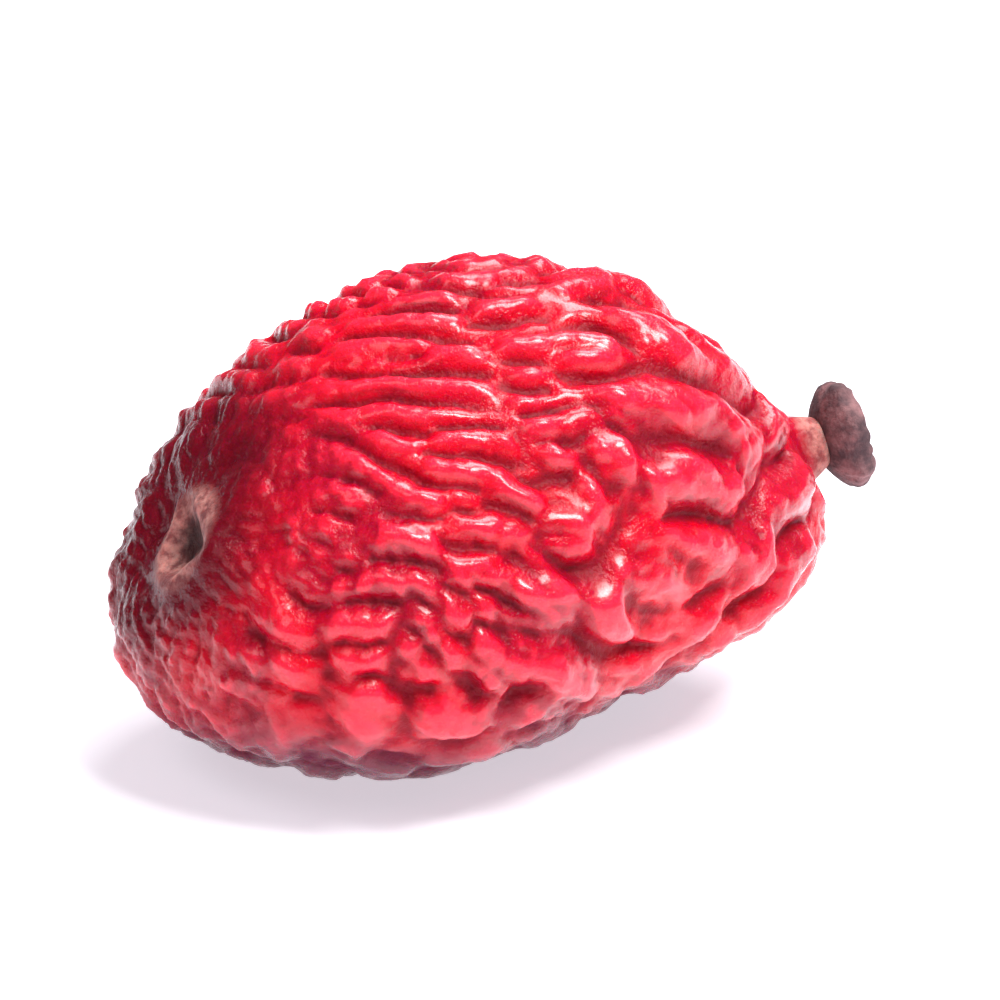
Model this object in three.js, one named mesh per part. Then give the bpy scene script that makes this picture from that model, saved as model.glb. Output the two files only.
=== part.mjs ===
// One dried barberry lying on its side: an oblong berry whose leathery skin has shrunk into
// lengthwise folds, with the flower's corky stigma still on its tip like a button on a short neck.
// Millimetres. +X runs from the stalk scar to the stigma, +Z is up, and the berry rests on z = 0.

import * as THREE from 'three';

// Driving dimensions of the body
const BODY_LENGTH = 7.6; // from the stalk end to the shoulder under the neck
const BODY_WIDTH = 5.65; // along Y, between the valleys and the crests of the folds
const BODY_HEIGHT = 5.55; // along Z
const REST_HEIGHT = 2.55; // from the surface it lies on up to the body's axis
const FULLNESS = 0.89; // under 1 the ends are blunter than an ellipsoid's
const EGG = 0.18; // how much wider the stalk end is than the tip

// The axis falls from the broad end to the thin one, as an egg's does when it lies on a table, and
// it bows, so that the neck looks up again and both ends turn a little to one side.
const DROP = 0.17; // of the thin end, and as much rise of the broad one
const BOW = 0.24; // rise of both ends
const TIP_RISE = 0.11; // what the tip rises besides
const STALK_RISE = 0.14; // and the stalk end
const SWAY = 0.17; // of both ends towards -Y

// The body leans: how far along the axis its upper side lies past its lower side, by its height,
// and how much less so at the tip, whose lower side reaches past its upper side
const LEAN = 0.285;
const TIP_SLANT = 0.5;

// The neck and the stalk scar
const NECK_RADIUS = 0.25;
const NECK_FOOT_RADIUS = 0.5; // where the neck has run out into the body
const NECK_LENGTH = 0.36;
const NECK_CUT = 0.05; // how far below its rounded top the neck is cut flat
const SCAR_RADIUS = 0.5; // of the raised ring round the scar
const SCAR_RIM_WIDTH = 0.15;
const SCAR_RIM = 0.06; // height of the ring
const SCAR_PIT = 0.16; // depth of the pit inside it
const SCAR_TURN = 0.25; // how far the scar is turned to +Y, by its width

// The stigma: a round button, narrow where it sits on the neck, with a dimple in its outer face
const STIGMA_RADIUS = 0.6;
const STIGMA_SEAT_RADIUS = 0.38;
const STIGMA_THICKNESS = 0.46;
const STIGMA_DIMPLE = 0.18;
const STIGMA_DIMPLE_RADIUS = 0.3;
const STIGMA_SEAT_GAP = 0.01; // hair's breadth that keeps the two pieces apart

// How finely the surfaces are divided
const BODY_ROWS = 50;
const BODY_SIDES = 118; // many, because most folds run lengthwise
const ROW_EVENNESS = 0.8; // the lower it is, the closer the rows lie where the berry is thin
const STIGMA_ROWS = 16;
const STIGMA_SIDES = 28;

// Folds in the skin, along the berry and across it. wavelength is from crest to crest, height from
// the middle level to a crest, reach the size of a patch of like folds, and lean how far, in
// radians, a patch turns from the way that its layer runs.
const LONG_FOLDS = {
  across: 0,
  wavelength: 0.85,
  height: 0.12,
  reach: 0.64,
  lean: 0.45,
  patches: 230,
  start: 0.17,
};
const CROSS_FOLDS = {
  across: Math.PI / 2,
  wavelength: 1,
  height: 0.08,
  reach: 0.7,
  lean: 0.4,
  patches: 200,
  start: 0.43,
};
const WAVELENGTH_SPREAD = 0.25; // share by which the wavelength of a patch differs from the rest
const CREST_SHARPNESS = 0.56; // under 1 the crests are round and the valleys narrow
const NET_ANGLE = THREE.MathUtils.degToRad(215); // round here the folds lean more and make a net
const FOLDS_BEGIN_RADIUS = 0.34; // the folds fade in between these radii at both ends
const FOLDS_FULL_RADIUS = 1.05;

// Broad hollows where the flesh has sunk between the seeds: place along the axis as a share of
// half the length, angle round it from +Y towards +Z in degrees, radius and depth.
const HOLLOWS = [
  { along: -0.3, angle: 150, radius: 1.35, depth: 0.2 },
  { along: 0.35, angle: 60, radius: 1.15, depth: 0.18 },
  { along: 0.05, angle: -20, radius: 1.25, depth: 0.16 },
  { along: 0.3, angle: -150, radius: 1.25, depth: 0.18 },
];

const GOLDEN_STEP = 0.6180339887; // share of a full turn that spreads patches evenly

const SKIN_COLOUR = 0xc8142c;
const STIGMA_COLOUR = 0x6e5a48;

const HALF_LENGTH = BODY_LENGTH / 2;
const NECK_END = HALF_LENGTH + NECK_LENGTH - NECK_CUT; // the flat end that carries the stigma

const fraction = (value) => value - Math.floor(value);

// A number from 0 to 1 that looks random: the fraction of a large multiple of a sine
const scattered = (i, start) => fraction(43758.5453 * Math.sin(12.9898 * i + 78.233 * start));

// The unfolded skin on its straight axis. psi is the polar angle from the stalk end, and theta
// the angle round the axis from +Y towards +Z.
function plainSkin(psi, theta) {
  const t = -Math.cos(psi);
  const lobes =
    1 +
    0.03 * Math.cos(2 * theta + 0.7 + 0.9 * t) +
    0.03 * Math.cos(3 * theta + 2.1 - 1.2 * t) +
    0.014 * Math.cos(5 * theta + 0.4 + 2 * t);
  const share = Math.max(0, Math.sin(psi)) ** FULLNESS * (1 - EGG * t);
  const y = (share * BODY_WIDTH) / 2;
  const z = (share * BODY_HEIGHT) / 2;
  const radius = (y + z) / 2;
  const foot = THREE.MathUtils.smoothstep(radius, NECK_RADIUS, NECK_FOOT_RADIUS);
  const lean = LEAN - TIP_SLANT * THREE.MathUtils.smoothstep(t, 0.2, 1);
  let x = HALF_LENGTH * t + lean * foot * z * Math.sin(theta);
  if (t > 0) {
    x = Math.min(x + NECK_LENGTH * (1 - foot), NECK_END);
  } else {
    const torn = radius * (1 + 0.12 * Math.cos(3 * theta + 1) + 0.07 * Math.cos(5 * theta));
    const near = 1 - THREE.MathUtils.smoothstep(radius, SCAR_RADIUS, 2.4 * SCAR_RADIUS);
    x -= SCAR_RIM * Math.exp(-(((torn - SCAR_RADIUS) / SCAR_RIM_WIDTH) ** 2));
    x += SCAR_PIT * (1 - THREE.MathUtils.smoothstep(torn, 0.05, SCAR_RADIUS));
    x += SCAR_TURN * near * y * Math.cos(theta);
  }
  return new THREE.Vector3(x, y * lobes * Math.cos(theta), z * lobes * Math.sin(theta));
}

// Unit directions on the plain skin: along it towards the tip, round it, and out of it
function skinDirections(psi, theta) {
  const step = 0.01;
  const along = plainSkin(psi + step, theta).sub(plainSkin(psi - step, theta)).normalize();
  const round = plainSkin(psi, theta + step).sub(plainSkin(psi, theta - step)).normalize();
  const out = new THREE.Vector3().crossVectors(round, along).normalize();
  return { along, round, out };
}

// The folds come from a sum of small patches of parallel waves, spread evenly over the skin.
// The angle of the sum, taken as a complex number, runs on smoothly from patch to patch, and the
// folds are stripes of that angle: they branch and end as folds in a drying skin do.
function foldLayer({ across, wavelength, height, reach, lean, patches, start }) {
  const waves = [];
  for (let i = 0; i < patches; i++) {
    const psi = Math.acos(1 - (2 * (i + 0.5)) / patches);
    const theta = 2 * Math.PI * fraction(i * GOLDEN_STEP + start);
    const netted = (1.5 + 0.8 * Math.cos(theta - NET_ANGLE)) * (1 + 0.4 * Math.cos(psi));
    const turn = across + lean * netted * (2 * scattered(i, start) - 1);
    const length = wavelength * (1 + WAVELENGTH_SPREAD * (2 * scattered(i, start + 1) - 1));
    const { along, round } = skinDirections(psi, theta);
    const direction = round.multiplyScalar(Math.cos(turn)).addScaledVector(along, Math.sin(turn));
    waves.push({
      centre: plainSkin(psi, theta),
      waveVector: direction.multiplyScalar((2 * Math.PI) / length),
      phase: 2 * Math.PI * scattered(i, start + 2),
    });
  }
  return (point) => {
    let real = 0;
    let imaginary = 0;
    let power = 0;
    const offset = new THREE.Vector3();
    for (const { centre, waveVector, phase } of waves) {
      offset.subVectors(point, centre);
      const weight = Math.exp(-offset.lengthSq() / (2 * reach * reach));
      const angle = offset.dot(waveVector) + phase;
      real += weight * Math.cos(angle);
      imaginary += weight * Math.sin(angle);
      power += weight * weight;
    }
    const strength = Math.hypot(real, imaginary);
    const crest = ((1 + real / (strength + 1e-9)) / 2) ** CREST_SHARPNESS;
    const clearness = THREE.MathUtils.smoothstep(strength, 0, 0.9 * Math.sqrt(power));
    return height * clearness * (2 * crest - 0.8);
  };
}

const longFoldHeight = foldLayer(LONG_FOLDS);
const crossFoldHeight = foldLayer(CROSS_FOLDS);

const hollows = HOLLOWS.map(({ along, angle, radius, depth }) => ({
  centre: plainSkin(Math.acos(-along), THREE.MathUtils.degToRad(angle)),
  radius,
  depth,
}));

// 0 where the folds are high and 1 where they are low, from two slow waves
function calmness({ x, y, z }) {
  const slow =
    Math.sin(-0.62 * x + 0.28 * y + 0.56 * z - 0.5) + Math.sin(x - 0.78 * y + 0.9 * z + 1);
  return THREE.MathUtils.smoothstep(slow, -1, 1);
}

// 1 at the lower front of the stalk end, where cross folds cut the long ones into a net, and 0 at
// the back and at the tip
function nettedness({ x, y, z }) {
  return THREE.MathUtils.smoothstep(-0.45 * x - 0.6 * y - 0.5 * z, 0, 2);
}

// How far the skin stands out from its plain shape
function relief(point) {
  const radius = Math.hypot(point.y, point.z);
  const fade = THREE.MathUtils.smoothstep(radius, FOLDS_BEGIN_RADIUS, FOLDS_FULL_RADIUS);
  const calm = calmness(point);
  const longShare = 1.15 - 0.75 * calm;
  const crossShare = (0.35 + 0.65 * nettedness(point)) * (1 - 0.6 * calm);
  let out = fade * (longShare * longFoldHeight(point) + crossShare * crossFoldHeight(point));
  for (const { centre, radius: reach, depth } of hollows) {
    out -= depth * Math.exp(-point.distanceToSquared(centre) / (reach * reach));
  }
  return out;
}

// The bowed axis at a distance x along the body, with the directions across it
function axisAt(x) {
  const t = x / HALF_LENGTH;
  const endRise = t > 0 ? TIP_RISE : STALK_RISE;
  const height = BOW * t * t + endRise * Math.abs(t) ** 3 - DROP * t;
  const place = new THREE.Vector3(x, -SWAY * t * t, height);
  const rise = (2 * BOW * t + 3 * endRise * t * Math.abs(t) - DROP) / HALF_LENGTH;
  const swing = (-2 * SWAY * t) / HALF_LENGTH;
  const forward = new THREE.Vector3(1, swing, rise).normalize();
  const side = new THREE.Vector3(0, 0, 1).cross(forward).normalize();
  const up = new THREE.Vector3().crossVectors(forward, side);
  return { place, forward, side, up };
}

// A point of the finished skin: folded, carried onto the bowed axis and pressed flat where it
// would go below the surface that the berry lies on
function skinPoint(psi, theta) {
  const point = plainSkin(psi, theta);
  if (psi > 0 && psi < Math.PI) {
    point.addScaledVector(skinDirections(psi, theta).out, relief(point));
  }
  const { place, side, up } = axisAt(point.x);
  const carried = place.addScaledVector(side, point.y).addScaledVector(up, point.z);
  carried.z = Math.max(carried.z, -REST_HEIGHT);
  return carried;
}

// A closed surface from rings of points between two poles. pointAt takes the number of the row,
// from 0 at the first pole to rows at the second, and the angle round.
function closedSurface(rows, sides, pointAt) {
  const points = [pointAt(0, 0)];
  for (let row = 1; row < rows; row++) {
    for (let side = 0; side < sides; side++) {
      points.push(pointAt(row, (2 * Math.PI * side) / sides));
    }
  }
  points.push(pointAt(rows, 0));
  const last = points.length - 1;
  const at = (row, side) => 1 + (row - 1) * sides + (side % sides);
  const triangles = [];
  for (let side = 0; side < sides; side++) {
    triangles.push(0, at(1, side + 1), at(1, side));
    for (let row = 1; row < rows - 1; row++) {
      triangles.push(at(row, side), at(row, side + 1), at(row + 1, side));
      triangles.push(at(row, side + 1), at(row + 1, side + 1), at(row + 1, side));
    }
    triangles.push(last, at(rows - 1, side), at(rows - 1, side + 1));
  }
  const geometry = new THREE.BufferGeometry().setFromPoints(points);
  geometry.setIndex(triangles);
  geometry.computeVertexNormals();
  return geometry;
}

// The polar angle of each row. The rows lie closer together along the skin where the berry is
// thin, at the neck and the scar.
function rowAngles() {
  const steps = 4000;
  const reached = [0];
  let last = plainSkin(0, 0);
  for (let i = 1; i <= steps; i++) {
    const point = plainSkin((Math.PI * i) / steps, 0);
    const radius = (point.y + last.y) / 2;
    reached.push(reached[i - 1] + point.distanceTo(last) / (radius + ROW_EVENNESS));
    last = point;
  }
  const angles = [];
  for (let row = 0, i = 0; row <= BODY_ROWS; row++) {
    const wanted = (reached[steps] * row) / BODY_ROWS;
    while (i < steps - 1 && reached[i + 1] < wanted) i++;
    const share = (wanted - reached[i]) / (reached[i + 1] - reached[i]);
    angles.push((Math.PI * (i + share)) / steps);
  }
  return angles;
}

function makeBerry() {
  const angles = rowAngles();
  const geometry = closedSurface(BODY_ROWS, BODY_SIDES, (row, theta) =>
    skinPoint(angles[row], theta),
  );
  const material = new THREE.MeshStandardMaterial({
    color: SKIN_COLOUR,
    roughness: 0.38,
    metalness: 0,
  });
  const berry = new THREE.Mesh(geometry, material);
  berry.name = 'berry';
  return berry;
}

// The button stands on its own X axis with its seat at the origin.
function stigmaPoint(share, theta) {
  const angle = Math.PI * share;
  const blunt = 0.45; // rounds the rim of an otherwise flat button
  const side = Math.abs(Math.cos(angle)) ** blunt * Math.sign(Math.cos(angle));
  const height = THREE.MathUtils.clamp((1.04 * (1 - side)) / 2 - 0.04, 0, 1);
  const widening = THREE.MathUtils.smoothstep(height, -0.1, 0.6);
  const rimRadius = THREE.MathUtils.lerp(STIGMA_SEAT_RADIUS, STIGMA_RADIUS, widening);
  const lobes = 1 + widening * (0.05 * Math.cos(3 * theta + 0.6) + 0.03 * Math.cos(7 * theta));
  const radius = rimRadius * Math.sin(angle) ** blunt * lobes;
  const dimple =
    share > 0.5
      ? STIGMA_DIMPLE * (1 - THREE.MathUtils.smoothstep(radius, 0.1, STIGMA_DIMPLE_RADIUS))
      : 0;
  const x = STIGMA_THICKNESS * height - dimple;
  return new THREE.Vector3(x, radius * Math.cos(theta), radius * Math.sin(theta));
}

function makeStigma() {
  const geometry = closedSurface(STIGMA_ROWS, STIGMA_SIDES, (row, theta) =>
    stigmaPoint(0.5 - 0.5 * Math.cos((Math.PI * row) / STIGMA_ROWS), theta),
  );
  const material = new THREE.MeshStandardMaterial({
    color: STIGMA_COLOUR,
    roughness: 0.85,
    metalness: 0,
  });
  const stigma = new THREE.Mesh(geometry, material);
  stigma.name = 'stigma_cap';
  const { place, forward, side, up } = axisAt(NECK_END);
  stigma.position.copy(place).addScaledVector(forward, STIGMA_SEAT_GAP);
  stigma.setRotationFromMatrix(new THREE.Matrix4().makeBasis(forward, side, up));
  return stigma;
}

// The berry is modelled about its own axis, and then set down with the origin under the middle
// of its box.
const barberry = new THREE.Group();
barberry.add(makeBerry(), makeStigma());
const middle = new THREE.Box3().setFromObject(barberry, true).getCenter(new THREE.Vector3());
barberry.position.set(-middle.x, -middle.y, REST_HEIGHT);

const part = new THREE.Group();
part.add(barberry);

export default part;
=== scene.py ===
"""A dried barberry lying on its side, seen close up on a pale floor.

The file is laid out as an add-on: settings that can be changed, an operator for the skin, for the
stigma and for the stage, and a panel that lists them. Run as a script, it makes all three. Every
surface is worked out from two parameters, the share of the way from end to end and the angle round.
Shapes are in millimetres on the berry's own axis, as in the CAD source, and metres in the scene.
"""

import math

import bpy
import numpy as np
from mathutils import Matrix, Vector


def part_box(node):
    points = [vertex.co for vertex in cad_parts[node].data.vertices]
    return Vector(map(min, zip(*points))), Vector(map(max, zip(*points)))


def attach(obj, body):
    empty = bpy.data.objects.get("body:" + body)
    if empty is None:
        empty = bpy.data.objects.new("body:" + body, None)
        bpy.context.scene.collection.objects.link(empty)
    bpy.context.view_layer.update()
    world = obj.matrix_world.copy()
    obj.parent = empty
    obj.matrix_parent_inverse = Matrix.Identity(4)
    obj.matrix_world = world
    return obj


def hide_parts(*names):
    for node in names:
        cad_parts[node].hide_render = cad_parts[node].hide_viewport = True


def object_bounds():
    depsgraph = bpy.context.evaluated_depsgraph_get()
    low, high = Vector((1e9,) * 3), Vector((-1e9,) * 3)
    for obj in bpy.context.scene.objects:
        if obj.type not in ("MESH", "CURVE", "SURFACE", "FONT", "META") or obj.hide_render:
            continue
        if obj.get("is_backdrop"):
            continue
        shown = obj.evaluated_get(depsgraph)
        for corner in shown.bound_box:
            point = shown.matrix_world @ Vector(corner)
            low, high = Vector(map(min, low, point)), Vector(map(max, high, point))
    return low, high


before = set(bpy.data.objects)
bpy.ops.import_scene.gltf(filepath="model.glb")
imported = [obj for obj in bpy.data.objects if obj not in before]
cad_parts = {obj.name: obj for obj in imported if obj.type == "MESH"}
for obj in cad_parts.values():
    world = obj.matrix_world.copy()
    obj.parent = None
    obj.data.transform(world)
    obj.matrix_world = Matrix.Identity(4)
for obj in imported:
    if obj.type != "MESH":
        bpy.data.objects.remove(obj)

bl_info = {
    "name": "Dried Barberry",
    "version": (1, 0, 0),
    "blender": (4, 5, 0),
    "location": "3D View > Sidebar > Barberry",
    "description": "Makes a dried barberry with folded skin and a corky stigma",
    "category": "Add Mesh",
}

MM = 0.001
BAKE_MAP = "OFBake"  # the name of the UV map laid out on each mesh's own grid

# The body's outline, as in the CAD source
FULLNESS = 0.89
EGG = 0.18
REST_HEIGHT = 2.55
PRESS_ROUNDING = 0.12  # rounds the folds where they are pressed flat on the floor
DROP = 0.17
BOW = 0.24
TIP_RISE = 0.11
STALK_RISE = 0.14
SWAY = 0.17
LEAN = 0.285
TIP_SLANT = 0.5
# Lobes round the body: size as a share of the radius, count, start, and turn from middle to end
LOBES = ((0.03, 2, 0.7, 0.9), (0.03, 3, 2.1, -1.2), (0.014, 5, 0.4, 2))

# The neck and the stalk scar
NECK_RADIUS = 0.25
NECK_FOOT_RADIUS = 0.5
NECK_LENGTH = 0.36
NECK_CUT = 0.05
SCAR_RADIUS = 0.5
SCAR_RIM_WIDTH = 0.15
SCAR_RIM = 0.06
SCAR_PIT = 0.16
SCAR_TURN = 0.25

# The stigma's outline, and the heights of the waves that roughen its face and its rim
STIGMA_SEAT_RADIUS = 0.38
STIGMA_DIMPLE_RADIUS = 0.3
STIGMA_BLUNTNESS = 0.45
FURROW_DEPTH = 0.012
FACE_RING_HEIGHT = 0.02
FACE_RING_SPACING = 0.26
RIM_CRINKLE = 0.02
FINE_RIM_CRINKLE = 0.012

# How finely the surfaces are divided
SKIN_ROWS = 250
SKIN_SIDES = 380
ROW_EVENNESS = 0.8
STIGMA_ROWS = 110
STIGMA_SIDES = 180

# Layers of folds: wavelength from crest to crest, height from the middle level to a crest, reach of
# a patch of like folds, lean, which is how far in radians a patch may turn from the way its layer
# runs, the number of patches, and the start of their scattered numbers.
WIDE_FOLDS = (0.85, 0.12, 0.64, 0.45, 230, 0.17)
CROSS_FOLDS = (1.0, 0.08, 0.7, 0.4, 200, 0.43)
CLOSE_FOLDS = (0.44, 0.085, 0.55, 0.22, 420, 0.61)
PEBBLES = (0.55, 0.06, 0.36, 1.4, 600, 0.29)
FINE_LAYERS = ((0.24, 0.014, 0.27, 0.7, 1100, 0.37), (0.14, 0.006, 0.18, 0.9, 2300, 0.83))

CLOSE_FOLDS_UP = (0.1, 0.4, 0.9)  # the close folds run along the skin at a right angle to this
# Where the skin is tight: two slow waves, each with a direction in radians a millimetre and a start
TIGHT_WAVES = (((-0.62, 0.28, 0.56), -0.5), ((1.0, -0.78, 0.9), 1.0))
NET_SIDE = (-0.45, -0.6, -0.5)  # towards here the cross folds are strongest
UPPER_SIDE = (-0.4, -0.15, 0.45)  # towards here the close folds take over
CREST_SHARPNESS = 0.56
WAVELENGTH_SPREAD = 0.25  # share by which the wavelength of a patch differs from the layer's
NET_ANGLE = np.radians(215)  # round here the folds lean further, and make a net
FOLDS_BEGIN_RADIUS = 0.34
FOLDS_FULL_RADIUS = 1.05
PATCH_CUT = 3.5  # a patch is left out past this many times its reach
DIRECTION_STEP = 0.01  # radians between the points that give the skin's own directions

# The crests that colour the skin: how many times heights are averaged with their neighbours before
# they are taken off, and the height in millimetres that then counts as 1
CREST_AVERAGES = 40
CREST_UNIT = 0.1
FINE_CREST_AVERAGES = 6
FINE_CREST_UNIT = 0.025

# Broad hollows: place along the axis as a share of half the length, degrees round, reach and depth
HOLLOWS = (
    (-0.3, 150, 1.35, 0.2),
    (0.35, 60, 1.15, 0.18),
    (0.05, -20, 1.25, 0.16),
    (0.3, -150, 1.25, 0.18),
)

GOLDEN_STEP = 0.6180339887  # share of a full turn that spreads patches evenly

# The stage, in metres. Lights: name, azimuth and elevation in degrees, width, watts and colour
FLOOR_HALF_WIDTH = 0.6
FLOOR_GLOW_STRENGTH = 0.6
SKY_COLOUR = (0.9, 0.92, 1.0)
SKY_STRENGTH = 0.2
LIGHT_DISTANCE = 0.12
LIGHTS = (
    ("key", 26, 62, 0.045, 0.21, (1.0, 0.985, 0.97)),
    ("fill", -70, 50, 0.05, 0.025, (0.97, 0.98, 1.0)),
    ("back", 120, 60, 0.06, 0.14, (0.97, 0.98, 1.0)),
)


def smoothstep(value, low, high):
    """0 up to low and 1 from high on, and between them 3s^2 - 2s^3 of the share s of the way."""
    share = np.clip((value - low) / (high - low), 0.0, 1.0)
    return share * share * (3.0 - 2.0 * share)


def scattered(i, start):
    """Numbers from 0 to 1 that look random: the fraction of a large multiple of a sine."""
    return (43758.5453 * np.sin(12.9898 * i + 78.233 * start)) % 1


def unit(vectors):
    """Each vector divided by its length."""
    return vectors / (np.linalg.norm(vectors, axis=-1, keepdims=True) + 1e-12)


class BarberrySkinSettings(bpy.types.PropertyGroup):
    """Sizes and colours of the berry's skin."""

    length: bpy.props.FloatProperty(
        name="Body Length",
        description="From the stalk end to the shoulder under the neck",
        default=0.0076,
        min=0.004,
        max=0.02,
        precision=5,
        subtype="DISTANCE",
        unit="LENGTH",
    )
    width: bpy.props.FloatProperty(
        name="Body Width",
        description="Across the body, between the valleys and the crests of the folds",
        default=0.00565,
        min=0.002,
        max=0.02,
        precision=5,
        subtype="DISTANCE",
        unit="LENGTH",
    )
    height: bpy.props.FloatProperty(
        name="Body Height",
        description="Upright, between the valleys and the crests of the folds",
        default=0.00555,
        min=0.002,
        max=0.02,
        precision=5,
        subtype="DISTANCE",
        unit="LENGTH",
    )
    folds: bpy.props.FloatProperty(
        name="Fold Depth",
        description="Scales the height of all the folds",
        default=1.0,
        min=0.0,
        max=2.0,
        subtype="FACTOR",
    )
    flesh: bpy.props.FloatVectorProperty(
        name="Flesh Red",
        description="Colour of the slopes of the folds",
        default=(0.6, 0.0006, 0.017),
        size=3,
        min=0.0,
        max=1.0,
        subtype="COLOR",
    )
    # The coral crests are partly the thinner skin's paler colour and partly a painted highlight
    coral: bpy.props.FloatVectorProperty(
        name="Coral",
        description="Colour of the crests, where the skin is thin and pale",
        default=(0.9, 0.017, 0.055),
        size=3,
        min=0.0,
        max=1.0,
        subtype="COLOR",
    )
    crimson: bpy.props.FloatVectorProperty(
        name="Crimson",
        description="Colour of the bluer patches",
        default=(0.4, 0.0005, 0.018),
        size=3,
        min=0.0,
        max=1.0,
        subtype="COLOR",
    )
    # Maroon colours the blotches and specks, and darkens the valleys as painted shade
    maroon: bpy.props.FloatVectorProperty(
        name="Maroon",
        description="Colour of the valleys and of the blotches",
        default=(0.14, 0.0003, 0.007),
        size=3,
        min=0.0,
        max=1.0,
        subtype="COLOR",
    )
    # Partly the stalk end's own darker colour, partly painted shade that reaches further to +Y
    stalk_end_and_shade: bpy.props.FloatVectorProperty(
        name="Stalk End",
        description="Colour of the dark skin round the scar",
        default=(0.1, 0.0002, 0.006),
        size=3,
        min=0.0,
        max=1.0,
        subtype="COLOR",
    )
    # Painted shade: the skin darkens towards the floor
    underside_shade: bpy.props.FloatVectorProperty(
        name="Underside",
        description="Colour of the skin next to the floor",
        default=(0.09, 0.0004, 0.02),
        size=3,
        min=0.0,
        max=1.0,
        subtype="COLOR",
    )
    tissue: bpy.props.FloatVectorProperty(
        name="Tissue",
        description="Colour of the dry neck and of the ring round the scar",
        default=(0.5, 0.22, 0.19),
        size=3,
        min=0.0,
        max=1.0,
        subtype="COLOR",
    )
    dark_tissue: bpy.props.FloatVectorProperty(
        name="Dark Tissue",
        description="Colour of the stains in the dry tissue",
        default=(0.17, 0.05, 0.05),
        size=3,
        min=0.0,
        max=1.0,
        subtype="COLOR",
    )
    scar_pit: bpy.props.FloatVectorProperty(
        name="Scar Pit",
        description="Colour of the pit in the scar",
        default=(0.035, 0.009, 0.01),
        size=3,
        min=0.0,
        max=1.0,
        subtype="COLOR",
    )


class BarberryStigmaSettings(bpy.types.PropertyGroup):
    """Sizes and colours of the stigma on the tip."""

    radius: bpy.props.FloatProperty(
        name="Radius",
        description="Radius of the round button",
        default=0.00062,
        min=0.0002,
        max=0.003,
        precision=5,
        subtype="DISTANCE",
        unit="LENGTH",
    )
    thickness: bpy.props.FloatProperty(
        name="Thickness",
        description="From the seat on the neck to the outer face",
        default=0.00046,
        min=0.0001,
        max=0.003,
        precision=5,
        subtype="DISTANCE",
        unit="LENGTH",
    )
    dimple: bpy.props.FloatProperty(
        name="Dimple",
        description="Depth of the pit in the outer face",
        default=0.00018,
        min=0.0,
        max=0.001,
        precision=5,
        subtype="DISTANCE",
        unit="LENGTH",
    )
    cork: bpy.props.FloatVectorProperty(
        name="Cork",
        description="Colour of the dry corky tissue",
        default=(0.24, 0.11, 0.115),
        size=3,
        min=0.0,
        max=1.0,
        subtype="COLOR",
    )
    grime: bpy.props.FloatVectorProperty(
        name="Dark Cork",
        description="Colour of the pits and of the weathered rim",
        default=(0.03, 0.014, 0.02),
        size=3,
        min=0.0,
        max=1.0,
        subtype="COLOR",
    )


class BarberryStageSettings(bpy.types.PropertyGroup):
    """Floor, lights and the place of the camera."""

    azimuth: bpy.props.FloatProperty(
        name="Azimuth",
        description="Where the camera stands, turned from looking along +Y",
        default=math.radians(-26.6),
        subtype="ANGLE",
        unit="ROTATION",
    )
    elevation: bpy.props.FloatProperty(
        name="Elevation",
        description="How high the camera stands above the floor",
        default=math.radians(23.2),
        subtype="ANGLE",
        unit="ROTATION",
    )
    lens: bpy.props.FloatProperty(
        name="Lens",
        description="Focal length of the camera in millimetres",
        default=400,
        min=20,
        max=1000,
    )
    fill: bpy.props.FloatProperty(
        name="Fill",
        description="Share of the picture's width that the berry takes",
        default=0.72,
        min=0.1,
        max=1.0,
        subtype="FACTOR",
    )
    floor: bpy.props.FloatVectorProperty(
        name="Floor",
        description="Colour of the floor",
        default=(0.76, 0.75, 0.79),
        size=3,
        min=0.0,
        max=1.0,
        subtype="COLOR",
    )
    glow: bpy.props.FloatVectorProperty(
        name="Floor Glow",
        description="Colour of the faint light that the floor gives off, which softens the shadow",
        default=(0.95, 0.92, 1.0),
        size=3,
        min=0.0,
        max=1.0,
        subtype="COLOR",
    )


def plain_skin(psi, theta):
    """The unfolded skin on its straight axis, in millimetres.

    psi is the polar angle from the stalk end and theta the angle round from +Y towards +Z. With
    t = -cos(psi), the radius is sin(psi) to the power of the fullness times 1 - egg * t, wavered
    by cosines of 2, 3 and 5 times theta. x is half the length times t, and leans by a share of the
    height, away from the neck and the scar. The neck is added to it by a smoothstep of the radius,
    up to its flat end. At the other end the scar's ring comes off, a bell of the radius, and its
    pit is added, a smoothstep. A share of y turns the scar to the side.
    """
    skin = bpy.context.scene.barberry_skin
    half_length = skin.length / MM / 2
    t = -np.cos(psi)
    waves = (size * np.cos(count * theta + start + turn * t) for size, count, start, turn in LOBES)
    lobes = sum(waves, 1)
    share = np.clip(np.sin(psi), 0, None) ** FULLNESS * (1 - EGG * t)
    y = share * skin.width / MM / 2
    z = share * skin.height / MM / 2
    radius = (y + z) / 2
    foot = smoothstep(radius, NECK_RADIUS, NECK_FOOT_RADIUS)
    lean = LEAN - TIP_SLANT * smoothstep(t, 0.2, 1)
    x = half_length * t + lean * foot * z * np.sin(theta)
    torn = radius * (1 + 0.12 * np.cos(3 * theta + 1) + 0.07 * np.cos(5 * theta))
    ring = SCAR_RIM * np.exp(-(((torn - SCAR_RADIUS) / SCAR_RIM_WIDTH) ** 2))
    pit = SCAR_PIT * (1 - smoothstep(torn, 0.05, SCAR_RADIUS))
    turned = SCAR_TURN * y * np.cos(theta) * (1 - smoothstep(radius, SCAR_RADIUS, 2.4 * SCAR_RADIUS))
    neck = np.minimum(x + NECK_LENGTH * (1 - foot), neck_end())
    x = np.where(t > 0, neck, x - ring + pit + turned)
    return np.stack([x, y * lobes * np.cos(theta), z * lobes * np.sin(theta)], axis=-1)


def neck_end():
    """Where along the axis the neck ends, flat, under the stigma."""
    return bpy.context.scene.barberry_skin.length / MM / 2 + NECK_LENGTH - NECK_CUT


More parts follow.
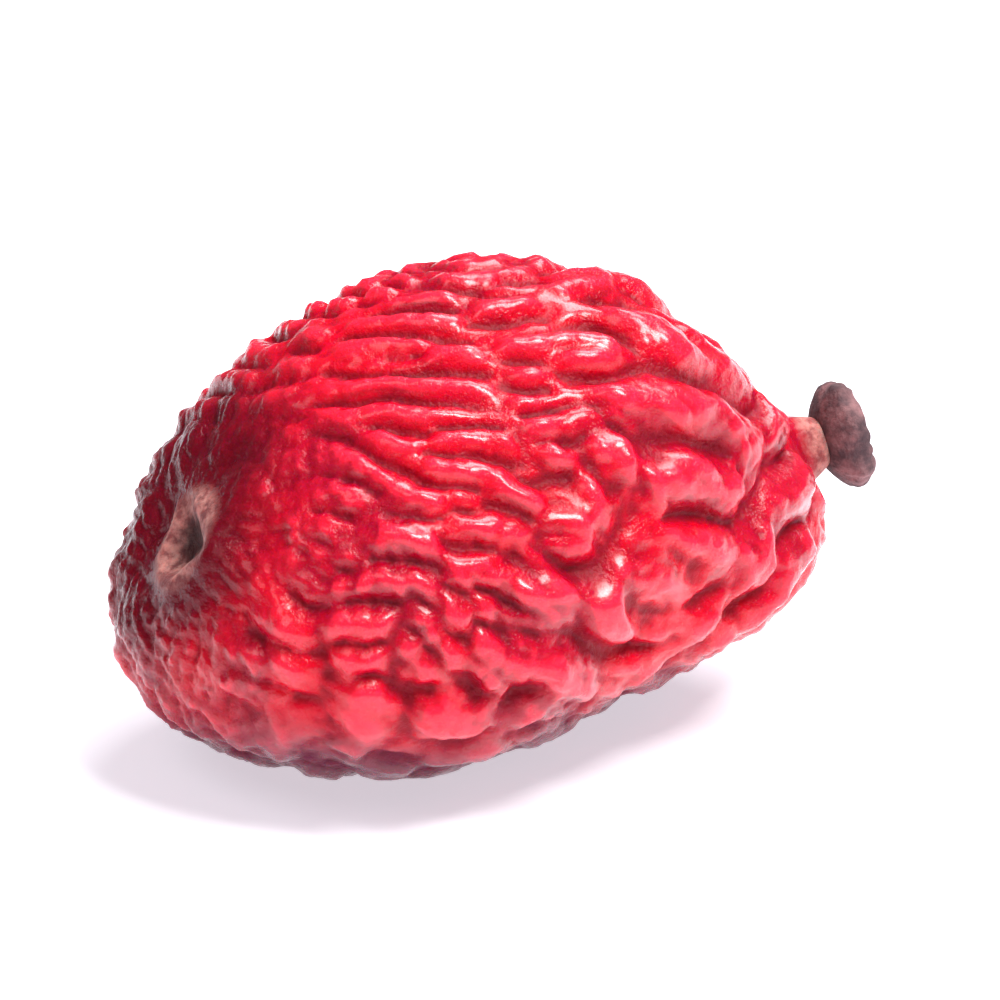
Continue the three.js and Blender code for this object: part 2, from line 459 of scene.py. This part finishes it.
def skin_directions(psi, theta):
    """Unit directions along the plain skin towards the tip, round it, and out of it."""
    step = DIRECTION_STEP
    along = unit(plain_skin(psi + step, theta) - plain_skin(psi - step, theta))
    around = unit(plain_skin(psi, theta + step) - plain_skin(psi, theta - step))
    return along, around, unit(np.cross(around, along))


def fold_layer(points, wavelength, height, reach, lean, patches, start, across=0.0, up=None):
    """Height of one layer of folds at each point, from a sum of patches of parallel waves.

    Patch i sits at polar angle acos(1 - 2(i + 0.5) / patches), turned by the golden ratio from the
    one before. Each adds a complex wave under a bell of the given reach. The folds are stripes of
    the sum's angle, so they run on from patch to patch, branch and end. They run along the berry,
    turned by the angle across, or at a right angle to the direction up where it is given, and each
    patch leans a scattered share of the lean to one side. Where the waves cancel, the fold is flat.
    """
    i = np.arange(patches)
    psi = np.arccos(1 - 2 * (i + 0.5) / patches)
    theta = 2 * np.pi * ((i * GOLDEN_STEP + start) % 1)
    netted = (1.5 + 0.8 * np.cos(theta - NET_ANGLE)) * (1 + 0.4 * np.cos(psi))
    along, around, _ = skin_directions(psi, theta)
    turn = across + lean * netted * (2 * scattered(i, start) - 1)
    if up:
        turn += np.arctan2(along @ up, around @ up)
    length = wavelength * (1 + WAVELENGTH_SPREAD * (2 * scattered(i, start + 1) - 1))
    direction = around * np.cos(turn)[:, None] + along * np.sin(turn)[:, None]
    centres = plain_skin(psi, theta)
    waves = direction * (2 * np.pi / length)[:, None]
    phases = 2 * np.pi * scattered(i, start + 2)
    total = np.zeros(len(points), complex)
    power = np.zeros(len(points))
    for centre, wave, phase in zip(centres, waves, phases):
        near = np.flatnonzero(np.abs(points[:, 0] - centre[0]) < PATCH_CUT * reach)
        offset = points[near] - centre
        squares = np.einsum("ij,ij->i", offset, offset)
        inside = squares < (PATCH_CUT * reach) ** 2
        near, offset = near[inside], offset[inside]
        weight = np.exp(-squares[inside] / (2 * reach * reach))
        total[near] += weight * np.exp(1j * (offset @ wave + phase))
        power[near] += weight * weight
    strength = np.abs(total)
    crest = ((1 + total.real / (strength + 1e-9)) / 2) ** CREST_SHARPNESS
    clearness = smoothstep(strength, 0, 0.9 * np.sqrt(power) + 1e-9)
    return height * clearness * (2 * crest - 0.8)


def tightness(points):
    """0 where the skin has wide folds and 1 where it has close ones, from two slow waves."""
    slow = sum(np.sin(points @ direction + start) for direction, start in TIGHT_WAVES)
    return smoothstep(slow, -1.0, 1.0)


def relief(points):
    """How far the skin stands out from its plain shape, in millimetres.

    It is the sum of the layers of folds, each times its share at the point. Loose skin has mostly
    wide folds along the berry, crossed on one side into a net. Tight skin has more of the close
    folds and pebbles, and on the upper side close folds take over. The close folds and pebbles
    fade towards both ends, and all but the finest layers towards the bottom. The whole fades
    at the neck and the scar, and each broad hollow takes off its depth under a bell of its reach.
    """
    radius = np.hypot(points[:, 1], points[:, 2])
    tight = tightness(points)
    net = smoothstep(points @ NET_SIDE, 0, 2)
    upper = smoothstep(points @ UPPER_SIDE, 0.6, 1.5)
    thick = smoothstep(radius, 1.0, 2.3)
    below = smoothstep(-points[:, 2], 0.6, 2.2)

    wide_share = (1.15 - 0.75 * tight) * (1 - 0.5 * upper)
    cross_share = (0.35 + 0.5 * net) * (1 - 0.6 * tight) * (1 - 0.7 * upper)
    close_share = ((0.1 + 0.25 * tight) * (1 - upper) + upper) * thick * (1 - 0.7 * below)
    pebble_share = (0.4 + 0.8 * tight) * (1 - upper) * thick * (1 - 0.4 * below)
    fine_share = 0.7 + 0.5 * tight

    folds = wide_share * fold_layer(points, *WIDE_FOLDS)
    folds += cross_share * fold_layer(points, *CROSS_FOLDS, across=np.pi / 2)
    folds += close_share * fold_layer(points, *CLOSE_FOLDS, up=CLOSE_FOLDS_UP)
    folds *= 1 - 0.6 * below
    folds += pebble_share * fold_layer(points, *PEBBLES)
    folds += fine_share * sum(fold_layer(points, *layer) for layer in FINE_LAYERS)

    fade = smoothstep(radius, FOLDS_BEGIN_RADIUS, FOLDS_FULL_RADIUS)
    out = bpy.context.scene.barberry_skin.folds * fade * folds
    for along, angle, reach, depth in HOLLOWS:
        centre = plain_skin(np.arccos(-along), np.radians(angle))
        squares = ((points - centre) ** 2).sum(axis=1)
        out -= depth * np.exp(-squares / (reach * reach))
    return out


def axis_at(x):
    """The bowed axis at x: its place, and the unit directions forward, to the side and up.

    Both ends sway to -Y by the square of t, the share of half the length. Both rise by its
    square and by its cube, and the axis falls by t from the broad end to the thin one.
    """
    half_length = bpy.context.scene.barberry_skin.length / MM / 2
    x = np.asarray(x, float)
    t = x / half_length
    end_rise = np.where(t > 0, TIP_RISE, STALK_RISE)
    height = BOW * t * t + end_rise * np.abs(t) ** 3 - DROP * t
    place = np.stack([x, -SWAY * t * t, height], axis=-1)
    swing = -2 * SWAY * t / half_length
    rise = (2 * BOW * t + 3 * end_rise * t * np.abs(t) - DROP) / half_length
    forward = unit(np.stack([np.ones_like(x), swing, rise], axis=-1))
    side = unit(np.cross([0.0, 0.0, 1.0], forward))
    return place, forward, side, np.cross(forward, side)


def carried(points):
    """Points on the straight axis, carried onto the bowed one and pressed flat at the floor.

    The height h above the floor becomes half of h plus the root of h squared and the rounding
    squared, which is never under 0.
    """
    place, _, side, up = axis_at(points[:, 0])
    moved = place + side * points[:, 1:2] + up * points[:, 2:3]
    above = moved[:, 2] + REST_HEIGHT
    moved[:, 2] = (above + np.hypot(above, PRESS_ROUNDING)) / 2 - REST_HEIGHT
    return moved


def row_angles(rows):
    """Polar angles of the rows, closer together along the skin where the berry is thin."""
    psi = np.linspace(0, np.pi, 4001)
    profile = plain_skin(psi, np.zeros_like(psi))
    steps = np.linalg.norm(np.diff(profile, axis=0), axis=1)
    radius = (profile[1:, 1] + profile[:-1, 1]) / 2
    share = np.concatenate([[0], np.cumsum(steps / (radius + ROW_EVENNESS))])
    return np.interp(np.arange(1, rows) / rows, share / share[-1], psi)


def frame_shift():
    """The way from the berry's own axis to the shared frame, in metres.

    The stigma here has nearly the outline of the CAD stigma, so level with the floor the shift is
    the way from the middle of its box to the middle of the CAD's. Upright it is the rest height.
    """
    low, high = (np.array(corner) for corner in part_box("stigma_cap"))
    _, _, points = stigma_points()
    own = (points.min(axis=(0, 1)) + points.max(axis=(0, 1))) / 2
    shift = (low + high) / 2 - own * MM
    shift[2] = REST_HEIGHT * MM
    return shift


def closed_mesh(name, rows, sides, first, grid, last, attributes):
    """A closed mesh from a pole, rings of points and another pole, with a UV map and attributes.

    Vertex 1 + (row - 1) * sides + side belongs to the ring of that row. The map's U is the share
    of the way round and its V the share of the way from pole to pole.
    """
    ring = np.arange(sides)
    after = (ring + 1) % sides
    base = 1 + np.arange(rows - 2)[:, None] * sides
    quads = np.stack([base + ring, base + after, base + sides + after, base + sides + ring], axis=-1)
    tip = 1 + (rows - 1) * sides
    top = tip - sides
    start_fan = np.stack([np.zeros(sides, int), 1 + after, 1 + ring], axis=-1)
    end_fan = np.stack([np.full(sides, tip), top + ring, top + after], axis=-1)
    vertices = np.concatenate([[first], grid.reshape(-1, 3), [last]]) * MM + frame_shift()
    mesh = bpy.data.meshes.new(name)
    faces = quads.reshape(-1, 4).tolist() + start_fan.tolist() + end_fan.tolist()
    mesh.from_pydata(vertices.tolist(), [], faces)
    mesh.shade_smooth()
    low = ring / sides
    high = (ring + 1) / sides
    v = np.broadcast_to(np.arange(1, rows - 1)[:, None] / rows, (rows - 2, sides))
    u = np.broadcast_to(np.stack([low, high, high, low], axis=-1), (rows - 2, sides, 4))
    quad_map = np.stack([u, np.stack([v, v, v + 1 / rows, v + 1 / rows], axis=-1)], axis=-1)
    middle = (low + high) / 2
    start_v = np.tile([0, 1 / rows, 1 / rows], (sides, 1))
    start_map = np.stack([np.stack([middle, high, low], axis=-1), start_v], axis=-1)
    end_v = np.tile([1, 1 - 1 / rows, 1 - 1 / rows], (sides, 1))
    end_map = np.stack([np.stack([middle, low, high], axis=-1), end_v], axis=-1)
    corners = np.concatenate([quad_map.reshape(-1), start_map.reshape(-1), end_map.reshape(-1)])
    mesh.uv_layers.new(name=BAKE_MAP).data.foreach_set("uv", corners)
    for title, (start_value, values, end_value) in attributes.items():
        layer = mesh.attributes.new(title, "FLOAT", "POINT")
        layer.data.foreach_set("value", np.concatenate([[start_value], values.ravel(), [end_value]]))
    return mesh


def placed(mesh, name, node):
    """Makes a mesh a piece that rides on the root and stands for a CAD node."""
    piece = bpy.data.objects.new(name, mesh)
    bpy.context.scene.collection.objects.link(piece)
    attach(piece, "root")
    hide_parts(node)
    return piece


def smoothed(values, times):
    """Rings of values averaged with their neighbours, along and round the berry, this many times."""
    for _ in range(times):
        values = (np.roll(values, 1, axis=1) + values + np.roll(values, -1, axis=1)) / 3
        padded = np.pad(values, ((1, 1), (0, 0)), mode="edge")
        values = (padded[:-2] + padded[1:-1] + padded[2:]) / 3
    return values


def skin_mesh():
    """The folded skin: each point of the plain skin moved out by the relief and onto the axis.

    A point's crest value is its height less the averaged height round it, which is positive on a
    crest and negative in a valley. The material reads it, with the place along the berry and the
    radius.
    """
    angles = np.linspace(0, 2 * np.pi, SKIN_SIDES, endpoint=False)
    psi, theta = np.meshgrid(row_angles(SKIN_ROWS), angles, indexing="ij")
    psi, theta = psi.ravel(), theta.ravel()
    plain = plain_skin(psi, theta)
    _, _, out = skin_directions(psi, theta)
    height = relief(plain)
    points = carried(plain + out * height[:, None])
    poles = carried(plain_skin(np.array([0.0, np.pi]), np.zeros(2)))
    shape = (SKIN_ROWS - 1, SKIN_SIDES)
    height = height.reshape(shape)
    crest = (height - smoothed(height, CREST_AVERAGES)) / CREST_UNIT
    fine_crest = (height - smoothed(height, FINE_CREST_AVERAGES)) / FINE_CREST_UNIT
    along = (plain[:, 0] / neck_end()).reshape(shape)
    radius = np.hypot(plain[:, 1], plain[:, 2]).reshape(shape)
    attributes = {
        "crest": (0.0, crest, 0.0),
        "fine_crest": (0.0, fine_crest, 0.0),
        "along": (-1.0, along, 1.0),
        "radius": (0.0, radius, 0.0),
    }
    return closed_mesh("berry_skin", SKIN_ROWS, SKIN_SIDES, poles[0], points, poles[1], attributes)


class Value:
    """A shader socket that takes part in Python expressions with other values and numbers."""

    def __init__(self, graph, socket):
        self.graph = graph
        self.socket = socket

    def maths(self, operation, first, second):
        return self.graph.node("ShaderNodeMath", {"operation": operation}, {0: first, 1: second})

    def __add__(self, other):
        return self.maths("ADD", self, other)

    __radd__ = __add__

    def __sub__(self, other):
        return self.maths("SUBTRACT", self, other)

    def __rsub__(self, other):
        return self.maths("SUBTRACT", other, self)

    def __mul__(self, other):
        return self.maths("MULTIPLY", self, other)

    __rmul__ = __mul__


class Graph:
    """The node tree of a new material."""

    def __init__(self, name):
        self.material = bpy.data.materials.new(name)
        self.material.use_nodes = True
        self.tree = self.material.node_tree
        self.tree.nodes.clear()

    def node(self, kind, settings, inputs, output=0):
        """Adds a node, sets its settings and then its sockets, and returns an output if it has one."""
        made = self.tree.nodes.new(kind)
        for name, value in settings.items():
            setattr(made, name, value)
        for name, value in inputs.items():
            if isinstance(value, Value):
                self.tree.links.new(value.socket, made.inputs[name])
            else:
                made.inputs[name].default_value = value
        if made.outputs:
            return Value(self, made.outputs[output])

    def millimetres(self):
        """The object's coordinates in millimetres."""
        place = self.node("ShaderNodeTexCoord", {}, {}, "Object")
        return self.node("ShaderNodeVectorMath", {"operation": "SCALE"}, {0: place, "Scale": 1 / MM})

    def attribute(self, name):
        return self.node("ShaderNodeAttribute", {"attribute_name": name}, {}, "Fac")

    def noise(self, place, scale, detail=2.0, roughness=0.5, warp=0.0):
        inputs = {"Vector": place, "Scale": scale, "Detail": detail, "Roughness": roughness}
        return self.node("ShaderNodeTexNoise", {}, inputs | {"Distortion": warp}, "Fac")

    def step(self, value, low, high):
        """0 up to low and 1 from high on, with a smooth rise between."""
        settings = {"interpolation_type": "SMOOTHSTEP"}
        inputs = {"Value": value, "From Min": low, "From Max": high}
        return self.node("ShaderNodeMapRange", settings, inputs)

    def mix(self, share, first, second):
        """Two colours mixed. Sockets 6 and 7 of a Mix node, and output 2, are its colours."""
        settings = {"data_type": "RGBA"}
        return self.node("ShaderNodeMix", settings, {0: share, 6: first, 7: second}, 2)

    def bump(self, height, distance, strength, normal=None):
        inputs = {"Height": height, "Distance": distance, "Strength": strength}
        if normal:
            inputs["Normal"] = normal
        return self.node("ShaderNodeBump", {}, inputs)

    def finish(self, inputs):
        """Adds the Principled shader with these sockets, and the output."""
        shader = self.node("ShaderNodeBsdfPrincipled", {}, inputs)
        self.node("ShaderNodeOutputMaterial", {}, {"Surface": shader})
        return self.material


def rgba(colour):
    """A colour with full opacity added."""
    return (*colour, 1.0)


def skin_material():
    """Translucent red skin with a tan neck and scar ring.

    The coral crests are partly a painted highlight, and painted shade darkens the valleys, the lower
    side and the dark stalk end.
    """
    skin = bpy.context.scene.barberry_skin
    graph = Graph("barberry_skin")
    place = graph.millimetres()
    crest = graph.attribute("crest")
    fine = graph.attribute("fine_crest")
    along = graph.attribute("along")
    radius = graph.attribute("radius")

    # Red flesh with bluer patches and darker blotches
    patches = graph.noise(place, 0.45, warp=0.6)
    colour = graph.mix(graph.step(patches, 0.4, 0.62), rgba(skin.crimson), rgba(skin.flesh))
    blotches = graph.noise(place, 1.1, detail=3.0, roughness=0.6, warp=0.8)
    colour = graph.mix(graph.step(blotches, 0.5, 0.72) * 0.45, colour, rgba(skin.maroon))

    # Crests paled partly as a painted highlight, and valleys darkened as painted shade
    mottle = graph.noise(place, 1.6, detail=3.0)
    rise = crest + fine * 0.6
    # The crests pale towards coral: partly thinner skin, partly a painted highlight
    pale_crest_and_highlight = graph.step(rise + (mottle - 0.5) * 1.2, 0.15, 1.6)
    colour = graph.mix(pale_crest_and_highlight * 0.75, colour, rgba(skin.coral))
    # Painted shade: the valleys darken towards maroon
    valley = graph.step(rise, -0.1, -1.8)
    colour = graph.mix(valley * 0.6, colour, rgba(skin.maroon))

    # A dark stalk end, partly painted shade and more so to +Y, painted shade low down, fine dark
    # specks
    behind = graph.step(along, -0.55, -0.76)
    # Partly painted shade: the stalk end darkens, and further towards +Y
    sideways = graph.node("ShaderNodeSeparateXYZ", {}, {0: place}, "Y")
    stalk_end_and_shade = behind * graph.step(radius - sideways * 0.4 + (mottle - 0.5) * 1.2, 2.2, 0.9)
    colour = graph.mix(stalk_end_and_shade * 0.95, colour, rgba(skin.stalk_end_and_shade))
    height = graph.node("ShaderNodeSeparateXYZ", {}, {0: place}, "Z")
    # Painted shade: darker towards the floor
    underside_shade = graph.step(height + (patches - 0.5) * 1.2, 1.9, 0.5)
    colour = graph.mix(underside_shade * 0.9, colour, rgba(skin.underside_shade))
    grain = graph.noise(place, 14.0, detail=3.0, roughness=0.65)
    colour = graph.mix(graph.step(grain, 0.55, 0.75) * 0.25, colour, rgba(skin.maroon))

    # Dry tissue on the neck and round the scar, with a dark pit
    fibre = graph.noise(place, 6.0, detail=4.0, roughness=0.65)
    tissue = graph.mix(graph.step(fibre, 0.35, 0.65), rgba(skin.dark_tissue), rgba(skin.tissue))
    stub = graph.step(along + (fibre - 0.5) * 0.03, 0.91, 0.96)
    colour = graph.mix(stub * 0.85, colour, tissue)
    scar = behind * graph.step(radius + (fibre - 0.5) * 0.25, 0.66, 0.5)
    colour = graph.mix(scar * 0.85, colour, tissue)
    pit = behind * graph.step(radius + (fibre - 0.5) * 0.2, 0.36, 0.16)
    colour = graph.mix(pit * 0.9, colour, rgba(skin.scar_pit))

    # Uneven gloss that leaves out the valleys and the dry tissue, and small pores
    gloss = graph.noise(place, 2.2)
    roughness = 0.24 + (gloss - 0.5) * 0.16 + valley * 0.25 + stub * 0.35 + scar * 0.35
    waxy = (graph.step(gloss, 0.3, 0.7) * 0.3 + 0.45) * graph.step(rise, -0.8, 0.6)
    pores = graph.noise(place, 7.0, detail=3.0, roughness=0.6)
    normal = graph.bump(pores, 0.05 * MM, 0.6)
    normal = graph.bump(grain, 0.02 * MM, 0.6, normal)
    return graph.finish(
        {
            "Base Color": colour,
            "Roughness": roughness,
            "Coat Weight": waxy * (1 - stub) * (1 - scar) * (1 - stalk_end_and_shade * 0.75),
            "Coat Roughness": 0.17,
            "Coat IOR": 1.5,
            "Specular IOR Level": 0.16,
            "Subsurface Weight": 0.6,
            "Subsurface Radius": (1.0, 0.06, 0.05),
            "Subsurface Scale": 0.5 * MM,
            "Normal": normal,
        }
    )


class BARBERRY_OT_skin(bpy.types.Operator):
    """Make the berry's folded skin, which stands for the CAD berry"""

    bl_idname = "barberry.skin"
    bl_label = "Make Skin"
    bl_options = {"REGISTER", "UNDO"}

    def execute(self, context):
        piece = placed(skin_mesh(), "berry_skin", "berry")
        piece.data.materials.append(skin_material())
        return {"FINISHED"}


def stigma_point(share, theta):
    """The button on its own X axis, in millimetres, with its seat at the origin.

    With a = pi * share, the height is half of 1 less the blunted cosine of a, and the radius the
    blunted sine of a times a rim that widens from the seat to the outer face. The dimple is a
    smoothstep of the radius, and small waves of the angle roughen the rim and furrow the face.
    """
    stigma = bpy.context.scene.barberry_stigma
    angle = np.pi * share
    cosine = np.cos(angle)
    blunt = np.abs(cosine) ** STIGMA_BLUNTNESS * np.sign(cosine)
    height = np.clip(1.04 * (1 - blunt) / 2 - 0.04, 0, 1)
    widening = smoothstep(height, -0.1, 0.6)
    rim = STIGMA_SEAT_RADIUS + (stigma.radius / MM - STIGMA_SEAT_RADIUS) * widening
    lobes = 1 + widening * (0.05 * np.cos(3 * theta + 0.6) + 0.03 * np.cos(7 * theta))
    radius = rim * np.sin(angle) ** STIGMA_BLUNTNESS * lobes
    outer = share > 0.5
    dimple = stigma.dimple / MM * (1 - smoothstep(radius, 0.1, STIGMA_DIMPLE_RADIUS))
    face = np.where(outer, 1.0, 0.0) * smoothstep(radius, 0.12, 0.3)
    furrow_angle = 13 * theta + 2 * np.sin(4 * theta) + 3 * np.sin(5 * radius)
    furrows = FURROW_DEPTH * np.cos(furrow_angle) * face
    ring = FACE_RING_HEIGHT * np.cos(2 * np.pi * radius / FACE_RING_SPACING) * face
    x = stigma.thickness / MM * height - np.where(outer, dimple, 0) + furrows + ring
    crinkle = RIM_CRINKLE * np.cos(8 * theta + 1.7 * np.sin(3 * theta + 1) - 3 * height)
    crinkle += FINE_RIM_CRINKLE * np.cos(21 * theta + 2.6 * np.sin(2 * theta) + 7 * height)
    radius = radius * (1 + widening * crinkle)
    return np.stack([x, radius * np.cos(theta), radius * np.sin(theta)], axis=-1)


def stigma_points():
    """The stigma's share from pole to pole, its radius and its points, with a row for each pole.

    The points are carried to the end of the neck and turned the way the bowed axis points there.
    """
    share = 0.5 - 0.5 * np.cos(np.pi * np.arange(STIGMA_ROWS + 1) / STIGMA_ROWS)
    angles = np.linspace(0, 2 * np.pi, STIGMA_SIDES, endpoint=False)
    share, theta = np.meshgrid(share, angles, indexing="ij")
    points = stigma_point(share, theta)
    place, forward, side, up = axis_at(neck_end())
    radius = np.hypot(points[..., 1], points[..., 2])
    return share, radius, points @ np.stack([forward, side, up]) + place


def stigma_mesh():
    """The stigma as a closed mesh."""
    share, radius, points = stigma_points()
    outer = np.where(share > 0.5, 1.0, 0.0)
    attributes = {"radius": (0.0, radius[1:-1], 0.0), "outer": (0.0, outer[1:-1], 1.0)}
    first, rings, last = points[0, 0], points[1:-1], points[-1, 0]
    return closed_mesh("stigma_button", STIGMA_ROWS, STIGMA_SIDES, first, rings, last, attributes)


def cork_material():
    """Dry cork: tan with dark stains, a dark pit and dark specks, pitted and without gloss."""
    stigma = bpy.context.scene.barberry_stigma
    graph = Graph("corky_stigma")
    place = graph.millimetres()
    radius = graph.attribute("radius")
    outer = graph.attribute("outer")
    stain = graph.noise(place, 2.4, detail=4.0, roughness=0.6)
    grain = graph.noise(place, 11.0, detail=4.0, roughness=0.65)
    pit = graph.step(radius, 0.34, 0.16) * outer
    dark = graph.step(stain, 0.36, 0.6)
    colour = graph.mix(dark * 0.85, rgba(stigma.cork), rgba(stigma.grime))
    colour = graph.mix(pit * 0.8, colour, rgba(stigma.grime))
    colour = graph.mix(graph.step(grain, 0.5, 0.72) * 0.5, colour, rgba(stigma.grime))
    return graph.finish(
        {
            "Base Color": colour,
            "Roughness": 0.82 + (grain - 0.5) * 0.2,
            "Normal": graph.bump(grain, 0.05 * MM, 0.7),
        }
    )


class BARBERRY_OT_stigma(bpy.types.Operator):
    """Make the corky stigma on the berry's tip, which stands for the CAD stigma"""

    bl_idname = "barberry.stigma"
    bl_label = "Make Stigma"
    bl_options = {"REGISTER", "UNDO"}

    def execute(self, context):
        piece = placed(stigma_mesh(), "stigma_button", "stigma_cap")
        piece.data.materials.append(cork_material())
        return {"FINISHED"}


def floor_material():
    """Matt white board that gives off a faint light, with a faint unevenness in its gloss."""
    stage = bpy.context.scene.barberry_stage
    graph = Graph("pale_floor")
    uneven = graph.noise(graph.millimetres(), 0.08)
    return graph.finish(
        {
            "Base Color": rgba(stage.floor),
            "Roughness": 0.55 + (uneven - 0.5) * 0.1,
            "Emission Color": rgba(stage.glow),
            "Emission Strength": FLOOR_GLOW_STRENGTH,
        }
    )


def looking(name, data, target, azimuth, elevation, distance):
    """Adds an object that looks at the target from this far away, in a direction in radians."""
    level = math.cos(elevation)
    away = Vector((math.sin(azimuth) * level, -math.cos(azimuth) * level, math.sin(elevation)))
    made = bpy.data.objects.new(name, data)
    made.location = target + away * distance
    made.rotation_euler = (-away).to_track_quat("-Z", "Y").to_euler()
    bpy.context.scene.collection.objects.link(made)
    return made


def area_light(target, name, azimuth, elevation, size, power, colour):
    """A square soft light that looks at the target from a direction in degrees."""
    light = bpy.data.lights.new(name, "AREA")
    light.shape = "SQUARE"
    light.size = size
    light.energy = power
    light.color = colour
    looking(name, light, target, math.radians(azimuth), math.radians(elevation), LIGHT_DISTANCE)


class BARBERRY_OT_stage(bpy.types.Operator):
    """Make the pale floor, the soft lights and the camera"""

    bl_idname = "barberry.stage"
    bl_label = "Make Stage"
    bl_options = {"REGISTER", "UNDO"}

    def execute(self, context):
        scene = context.scene
        stage = scene.barberry_stage
        low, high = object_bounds()
        middle = (low + high) / 2

        far = FLOOR_HALF_WIDTH
        corners = [(-far, -far, 0), (far, -far, 0), (far, far, 0), (-far, far, 0)]
        mesh = bpy.data.meshes.new("floor")
        mesh.from_pydata(corners, [], [(0, 1, 2, 3)])
        mesh.materials.append(floor_material())
        floor = bpy.data.objects.new("floor", mesh)
        scene.collection.objects.link(floor)
        floor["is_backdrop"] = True

        world = bpy.data.worlds.new("studio")
        world.use_nodes = True
        background = world.node_tree.nodes["Background"]
        background.inputs["Color"].default_value = rgba(SKY_COLOUR)
        background.inputs["Strength"].default_value = SKY_STRENGTH
        scene.world = world
        for light in LIGHTS:
            area_light(middle, *light)

        camera = bpy.data.cameras.new("camera")
        camera.lens = stage.lens
        camera.clip_start = 0.001
        camera.clip_end = 10
        spread = camera.sensor_width / camera.lens
        distance = (high.x - low.x) * math.cos(stage.azimuth) / stage.fill / spread
        scene.camera = looking("camera", camera, middle, stage.azimuth, stage.elevation, distance)
        scene.view_settings.view_transform = "Standard"
        return {"FINISHED"}


class BARBERRY_PT_panel(bpy.types.Panel):
    """Settings of the barberry and the buttons that make it"""

    bl_label = "Dried Barberry"
    bl_idname = "BARBERRY_PT_panel"
    bl_space_type = "VIEW_3D"
    bl_region_type = "UI"
    bl_category = "Barberry"

    def draw(self, context):
        for title, settings, operator in (
            ("Skin", context.scene.barberry_skin, BARBERRY_OT_skin),
            ("Stigma", context.scene.barberry_stigma, BARBERRY_OT_stigma),
            ("Stage", context.scene.barberry_stage, BARBERRY_OT_stage),
        ):
            box = self.layout.box()
            box.label(text=title)
            for name in settings.__annotations__:
                box.prop(settings, name)
            box.operator(operator.bl_idname)


CLASSES = (
    BarberrySkinSettings,
    BarberryStigmaSettings,
    BarberryStageSettings,
    BARBERRY_OT_skin,
    BARBERRY_OT_stigma,
    BARBERRY_OT_stage,
    BARBERRY_PT_panel,
)


def register():
    for made in CLASSES:
        bpy.utils.register_class(made)
    scene = bpy.types.Scene
    scene.barberry_skin = bpy.props.PointerProperty(type=BarberrySkinSettings)
    scene.barberry_stigma = bpy.props.PointerProperty(type=BarberryStigmaSettings)
    scene.barberry_stage = bpy.props.PointerProperty(type=BarberryStageSettings)


def unregister():
    del bpy.types.Scene.barberry_stage
    del bpy.types.Scene.barberry_stigma
    del bpy.types.Scene.barberry_skin
    for made in reversed(CLASSES):
        bpy.utils.unregister_class(made)


def main():
    register()
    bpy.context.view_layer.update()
    bpy.ops.barberry.skin()
    bpy.ops.barberry.stigma()
    bpy.ops.barberry.stage()


if __name__ == "__main__":
    main()
